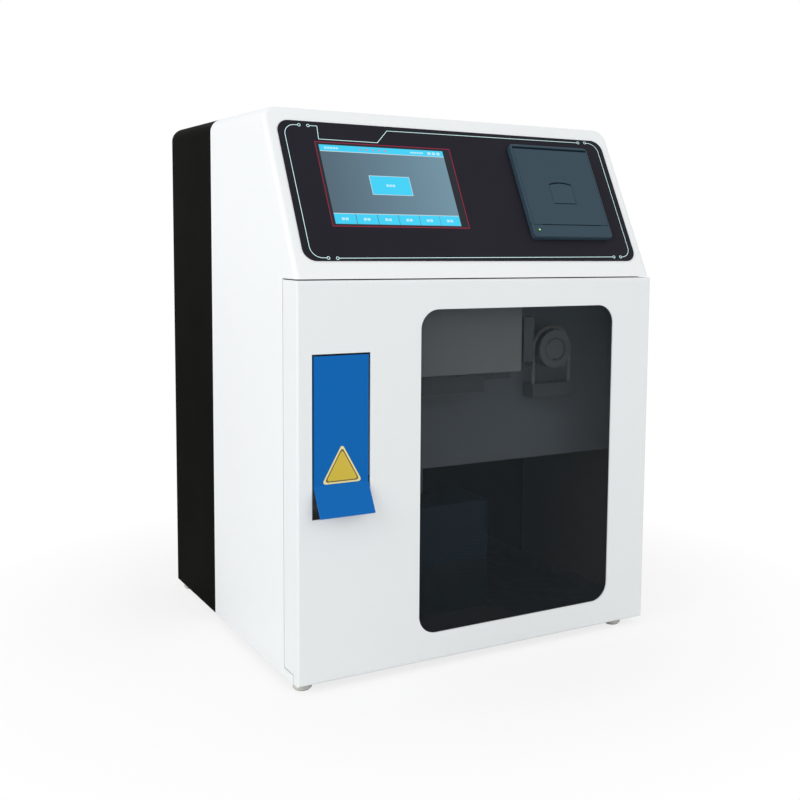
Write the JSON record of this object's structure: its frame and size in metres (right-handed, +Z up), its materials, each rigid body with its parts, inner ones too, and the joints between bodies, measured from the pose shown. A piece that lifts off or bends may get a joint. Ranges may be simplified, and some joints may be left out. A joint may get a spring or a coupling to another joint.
{
  "type": "electrolyte analyzer",
  "caption": "Bench-top electrolyte analyzer: folded cabinet with sloping touch panel and slip printer, hinged smoked-window door, blue sampler flap, electrode row, pump and reagent pack.",
  "frame": {"origin": "centre of the overall box at the level of the feet", "axes": "+X to the right seen from the front, +Y from the front door to the back, +Z up"},
  "size_m": [0.34, 0.3512, 0.456],
  "materials": {
    "white_paint": "fine satin powder coat",
    "door_paint": "fine satin powder coat",
    "panel_paint": "satin paint",
    "zinc_steel": "zinc plated",
    "black_paint": "satin powder coat",
    "smoked_acrylic": "polished",
    "bright_steel": "bright",
    "white_nylon": "satin",
    "black_plastic": "satin",
    "pale_rubber": "matt",
    "overlay_film": "fine matt film",
    "red_gasket": "matt",
    "display_glass": "glossy",
    "printer_plastic": "satin",
    "latch_plastic": "satin",
    "black_rubber": "matt",
    "thermal_paper": "smooth",
    "led_lens": "clear",
    "blue_paint": "satin paint",
    "cover_plastic": "satin",
    "clamp_aluminium": "anodised",
    "rotor_cap_plastic": "satin",
    "motor_case": "satin",
    "silicone": "soft sheen",
    "sensor_plastic": "satin",
    "pack_plastic": "semi-gloss card and film",
    "valve_plastic": "satin",
    "circuit_board": "solder mask",
    "rocker_plastic": "semi-gloss",
    "brass_post": "bright",
    "electrode_acrylic": "polished"
  },
  "bodies": {
    "cabinet": {"cabinet_shell": "white_paint", "base_tray": "zinc_steel", "rear_cover": "black_paint", "hinge_pins": "bright_steel", "hinge_washers": "white_nylon", "magnet_catch": "black_plastic", "feet": "pale_rubber", "screws": "bright_steel", "control_overlay": "overlay_film", "display_frame": "red_gasket", "touch_display": "display_glass", "printer_housing": "printer_plastic", "paper_roll": "thermal_paper", "print_head": "black_plastic", "printer_led": "led_lens", "sampler_bracket": "zinc_steel", "flap_pin": "bright_steel", "wash_cup": "white_nylon", "module_panel": "panel_paint", "electrode_carrier": "white_nylon", "electrode_cover": "cover_plastic", "pump_motor": "motor_case", "pump_tube": "silicone", "tube_holder": "white_nylon", "sample_tube": "silicone", "liquid_sensor": "sensor_plastic", "pack_shelf": "panel_paint", "reagent_pack": "pack_plastic", "reagent_connector": "white_nylon", "reagent_tubes": "silicone", "valve_manifold": "valve_plastic", "main_board": "circuit_board", "power_supply": "zinc_steel", "power_inlet": "black_plastic", "serial_port": "zinc_steel", "ground_post": "brass_post", "reference_electrode": "electrode_acrylic", "potassium_electrode": "electrode_acrylic", "sodium_electrode": "electrode_acrylic", "chloride_electrode": "electrode_acrylic", "calcium_electrode": "electrode_acrylic", "ph_electrode": "electrode_acrylic"},
    "door": {"front_door": "door_paint", "door_window": "smoked_acrylic", "strike_plate": "zinc_steel"},
    "flap": {"sampler_flap": "blue_paint", "probe_holder": "white_nylon", "sample_needle": "bright_steel"},
    "printer_door": {"paper_door": "printer_plastic"},
    "latch": {"printer_latch": "latch_plastic"},
    "platen": {"platen_roller": "black_rubber"},
    "clamp": {"electrode_clamp": "clamp_aluminium"},
    "rotor": {"pump_rotor": "white_nylon", "rotor_cap": "rotor_cap_plastic", "pump_shaft": "bright_steel"},
    "roller_1": {"pump_roller_1": "bright_steel"},
    "roller_2": {"pump_roller_2": "bright_steel"},
    "roller_3": {"pump_roller_3": "bright_steel"},
    "rocker": {"rocker_switch": "rocker_plastic"},
    "fuse_holder": {"fuse_drawer": "black_plastic"}
  },
  "joints": [
    {"name": "front_door_hinge", "type": "hinge", "parent": "cabinet", "child": "door", "pos_m": [0.163, -0.14635, 0.163], "axis": [0, 0, 1], "range_deg": [0, 110]},
    {"name": "sampler_flap_hinge", "type": "hinge", "parent": "cabinet", "child": "flap", "pos_m": [-0.13355, -0.15235, 0.254], "axis": [-1, 0, 0], "range_deg": [0, 60]},
    {"name": "paper_door_hinge", "type": "hinge", "parent": "cabinet", "child": "printer_door", "pos_m": [0.0951, -0.14158, 0.3667], "axis": [1, 0, 0], "range_deg": [0, 90]},
    {"name": "printer_latch_press", "type": "slide", "parent": "printer_door", "child": "latch", "axis": [0, 0.8805, -0.4741], "range_m": [0, 0.0015], "stiffness_N_per_m": 300},
    {"name": "platen_turn", "type": "hinge", "parent": "printer_door", "child": "platen", "pos_m": [0.0951, -0.1028, 0.42248], "axis": [1, 0, 0], "continuous": true},
    {"name": "electrode_clamp_slide", "type": "slide", "parent": "cabinet", "child": "clamp", "axis": [1, 0, 0], "range_m": [0, 0.003], "stiffness_N_per_m": 400},
    {"name": "pump_rotor_turn", "type": "hinge", "parent": "cabinet", "child": "rotor", "pos_m": [0.088, -0.12535, 0.2562], "axis": [0, 1, 0], "continuous": true},
    {"name": "pump_roller_1_turn", "type": "hinge", "parent": "rotor", "child": "roller_1", "pos_m": [0.088, -0.12535, 0.2689], "axis": [0, 1, 0], "continuous": true},
    {"name": "pump_roller_2_turn", "type": "hinge", "parent": "rotor", "child": "roller_2", "pos_m": [0.077, -0.12535, 0.24985], "axis": [0, 1, 0], "continuous": true},
    {"name": "pump_roller_3_turn", "type": "hinge", "parent": "rotor", "child": "roller_3", "pos_m": [0.099, -0.12535, 0.24985], "axis": [0, 1, 0], "continuous": true},
    {"name": "power_rocker_tilt", "type": "hinge", "parent": "cabinet", "child": "rocker", "pos_m": [0.12, 0.16465, 0.0947], "axis": [1, 0, 0], "range_deg": [0, 18]},
    {"name": "fuse_drawer_slide", "type": "slide", "parent": "cabinet", "child": "fuse_holder", "axis": [0, 1, 0], "range_m": [0, 0.012]}
  ],
  "couplings": [
    {"joint": "pump_roller_1_turn", "follows": "pump_rotor_turn", "ratio": -3.822},
    {"joint": "pump_roller_2_turn", "follows": "pump_rotor_turn", "ratio": -3.822},
    {"joint": "pump_roller_3_turn", "follows": "pump_rotor_turn", "ratio": -3.822}
  ]
}
